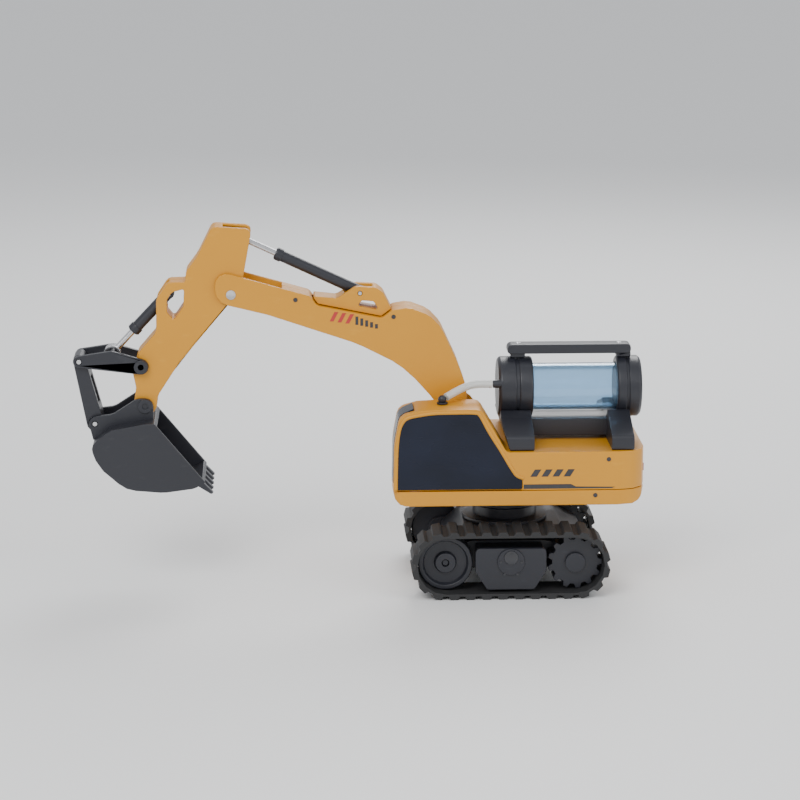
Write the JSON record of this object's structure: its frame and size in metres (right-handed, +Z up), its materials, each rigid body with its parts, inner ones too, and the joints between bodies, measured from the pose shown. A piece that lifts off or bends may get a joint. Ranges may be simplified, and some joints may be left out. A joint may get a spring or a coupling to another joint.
{
  "type": "toy excavator",
  "caption": "Remote-controlled toy excavator: tracked undercarriage, swinging body with a half cab and deck tank, and a boom, stick and bucket on working hinges.",
  "frame": {"origin": "on the ground, under the middle of the whole machine's length and width", "axes": "-X is the way the machine faces, with the bucket; -Y is its left side, with the cab; +Z is up"},
  "size_m": [0.3502, 0.115, 0.224],
  "materials": {
    "orange_plastic": "moulded orange-yellow plastic, satin",
    "black_plastic": "moulded black plastic, satin",
    "window_black": "glossy blue-black panel",
    "track_rubber": "black rubber",
    "pin_steel": "turned steel pins",
    "motor_can": "small motor can, lighter than solid steel",
    "clear_tube": "clear acrylic tube with a cool tint",
    "hose_translucent": "milky translucent silicone hose",
    "board_green": "circuit board laminate with parts",
    "gear_nylon": "natural nylon gears and gearbox shells",
    "battery_wrap": "shrink-wrapped rechargeable cells"
  },
  "bodies": {
    "undercarriage": {"chassis_frame": "black_plastic", "belly_cover": "black_plastic", "battery_pack": "battery_wrap", "turntable": "black_plastic", "swing_gear": "gear_nylon", "track_frame_left": "black_plastic", "track_belt_left": "track_rubber", "drive_gearbox_left": "gear_nylon", "track_frame_right": "black_plastic", "track_belt_right": "track_rubber", "drive_gearbox_right": "gear_nylon"},
    "power_switch": {"power_switch": "orange_plastic"},
    "upper_body": {"upper_base": "orange_plastic", "body_shell": "orange_plastic", "cab_side_window": "window_black", "cab_front_window": "window_black", "boom_foot_bracket": "orange_plastic", "swing_motor": "gear_nylon", "boom_motor": "gear_nylon", "circuit_board": "board_green", "tank_cradle": "black_plastic", "tank_front_cap": "black_plastic", "tank_rear_cap": "black_plastic", "tank_tube": "clear_tube", "tank_handle": "black_plastic", "hose": "hose_translucent", "hose_fitting": "black_plastic"},
    "swing_pinion": {"swing_pinion": "gear_nylon"},
    "boom": {"boom_half_left": "orange_plastic", "boom_half_right": "orange_plastic", "boom_foot_shaft": "pin_steel", "cylinder_bracket": "orange_plastic", "barrel_pin": "pin_steel", "stick_pin": "pin_steel", "stick_motor": "motor_can"},
    "stick": {"stick_half_left": "orange_plastic", "stick_half_right": "orange_plastic", "rocker_pin": "pin_steel", "bucket_pin": "pin_steel", "bucket_cylinder_pin": "pin_steel"},
    "stick_cylinder_barrel": {"stick_cylinder_barrel": "black_plastic"},
    "stick_cylinder_rod": {"stick_cylinder_rod": "black_plastic", "rod_eye_pin": "pin_steel"},
    "bucket_cylinder_barrel": {"bucket_cylinder_barrel": "black_plastic"},
    "bucket_cylinder_rod": {"bucket_cylinder_rod": "black_plastic"},
    "bucket_rocker": {"bucket_rocker": "black_plastic", "link_pin": "pin_steel"},
    "bucket_link": {"bucket_link": "black_plastic"},
    "bucket": {"bucket": "black_plastic", "rear_ear_pin": "pin_steel"},
    "drive_sprocket_left": {"drive_sprocket_left": "black_plastic", "drive_axle_left": "pin_steel"},
    "idler_wheel_left": {"idler_wheel_left": "black_plastic"},
    "track_roller_left_front": {"track_roller_left_front": "black_plastic"},
    "track_roller_left_rear": {"track_roller_left_rear": "black_plastic"},
    "drive_sprocket_right": {"drive_sprocket_right": "black_plastic", "drive_axle_right": "pin_steel"},
    "idler_wheel_right": {"idler_wheel_right": "black_plastic"},
    "track_roller_right_front": {"track_roller_right_front": "black_plastic"},
    "track_roller_right_rear": {"track_roller_right_rear": "black_plastic"}
  },
  "joints": [
    {"name": "swing", "type": "hinge", "parent": "undercarriage", "child": "upper_body", "pos_m": [0.09155, 0, 0], "axis": [0, 0, 1], "range_deg": [-175, 175]},
    {"name": "swing_pinion_spin", "type": "hinge", "parent": "upper_body", "child": "swing_pinion", "pos_m": [0.11455, 0, 0.06], "axis": [0, 0, 1], "range_deg": [-635, 635]},
    {"name": "boom_lift", "type": "hinge", "parent": "upper_body", "child": "boom", "pos_m": [0.05805, 0, 0.106], "axis": [0, 1, 0], "range_deg": [-20, 30]},
    {"name": "stick_swing", "type": "hinge", "parent": "boom", "child": "stick", "pos_m": [-0.07785, 0, 0.1824], "axis": [0, 1, 0], "range_deg": [-25, 30]},
    {"name": "bucket_curl", "type": "hinge", "parent": "stick", "child": "bucket", "pos_m": [-0.13125, 0, 0.1135], "axis": [0, 1, 0], "range_deg": [-35, 35]},
    {"name": "stick_barrel_tilt", "type": "hinge", "parent": "boom", "child": "stick_cylinder_barrel", "pos_m": [0.00115, 0, 0.182], "axis": [0, 1, 0], "range_deg": [-4, 4]},
    {"name": "stick_rod_slide", "type": "slide", "parent": "stick_cylinder_barrel", "child": "stick_cylinder_rod", "axis": [-0.9061, 0, 0.4232], "range_m": [-0.0185, 0.0155]},
    {"name": "bucket_barrel_tilt", "type": "hinge", "parent": "stick", "child": "bucket_cylinder_barrel", "pos_m": [-0.11595, 0, 0.182], "axis": [0, 1, 0], "range_deg": [-6, 6]},
    {"name": "bucket_rod_slide", "type": "slide", "parent": "bucket_cylinder_barrel", "child": "bucket_cylinder_rod", "axis": [-0.6854, 0, -0.7281], "range_m": [-0.0105, 0.0105]},
    {"name": "rocker_swing", "type": "hinge", "parent": "stick", "child": "bucket_rocker", "pos_m": [-0.13345, 0, 0.138], "axis": [0, 1, 0], "range_deg": [-33, 33]},
    {"name": "link_swing", "type": "hinge", "parent": "bucket_rocker", "child": "bucket_link", "pos_m": [-0.17125, 0, 0.1415], "axis": [0, 1, 0], "range_deg": [-21, 21]},
    {"name": "switch_slide", "type": "slide", "parent": "undercarriage", "child": "power_switch", "axis": [1, 0, 0], "range_m": [0, 0.0038]},
    {"name": "track_drive_left", "type": "hinge", "parent": "undercarriage", "child": "drive_sprocket_left", "pos_m": [0.1313, -0.0359, 0.02125], "axis": [0, 1, 0], "continuous": true},
    {"name": "idler_spin_left", "type": "hinge", "parent": "undercarriage", "child": "idler_wheel_left", "pos_m": [0.0518, -0.0359, 0.02125], "axis": [0, 1, 0], "continuous": true},
    {"name": "roller_spin_left_front", "type": "hinge", "parent": "undercarriage", "child": "track_roller_left_front", "pos_m": [0.08005, -0.044, 0.0083], "axis": [0, 1, 0], "continuous": true},
    {"name": "roller_spin_left_rear", "type": "hinge", "parent": "undercarriage", "child": "track_roller_left_rear", "pos_m": [0.10305, -0.044, 0.0083], "axis": [0, 1, 0], "continuous": true},
    {"name": "track_drive_right", "type": "hinge", "parent": "undercarriage", "child": "drive_sprocket_right", "pos_m": [0.1313, 0.0359, 0.02125], "axis": [0, 1, 0], "continuous": true},
    {"name": "idler_spin_right", "type": "hinge", "parent": "undercarriage", "child": "idler_wheel_right", "pos_m": [0.0518, 0.0359, 0.02125], "axis": [0, 1, 0], "continuous": true},
    {"name": "roller_spin_right_front", "type": "hinge", "parent": "undercarriage", "child": "track_roller_right_front", "pos_m": [0.08005, 0.044, 0.0083], "axis": [0, 1, 0], "continuous": true},
    {"name": "roller_spin_right_rear", "type": "hinge", "parent": "undercarriage", "child": "track_roller_right_rear", "pos_m": [0.10305, 0.044, 0.0083], "axis": [0, 1, 0], "continuous": true}
  ],
  "couplings": [
    {"joint": "swing_pinion_spin", "follows": "swing", "ratio": 3.6},
    {"joint": "stick_barrel_tilt", "follows": "stick_swing", "ratio": 0.1097},
    {"joint": "stick_rod_slide", "follows": "stick_swing", "m_per_rad": -0.03288},
    {"joint": "rocker_swing", "follows": "bucket_curl", "ratio": 0.8998},
    {"joint": "link_swing", "follows": "bucket_curl", "ratio": -0.5459},
    {"joint": "bucket_barrel_tilt", "follows": "bucket_curl", "ratio": 0.1288},
    {"joint": "bucket_rod_slide", "follows": "bucket_curl", "m_per_rad": -0.0154},
    {"joint": "idler_spin_left", "follows": "track_drive_left", "ratio": 1},
    {"joint": "roller_spin_left_front", "follows": "track_drive_left", "ratio": 4.004},
    {"joint": "roller_spin_left_rear", "follows": "track_drive_left", "ratio": 4.004},
    {"joint": "idler_spin_right", "follows": "track_drive_right", "ratio": 1},
    {"joint": "roller_spin_right_front", "follows": "track_drive_right", "ratio": 4.004},
    {"joint": "roller_spin_right_rear", "follows": "track_drive_right", "ratio": 4.004}
  ]
}
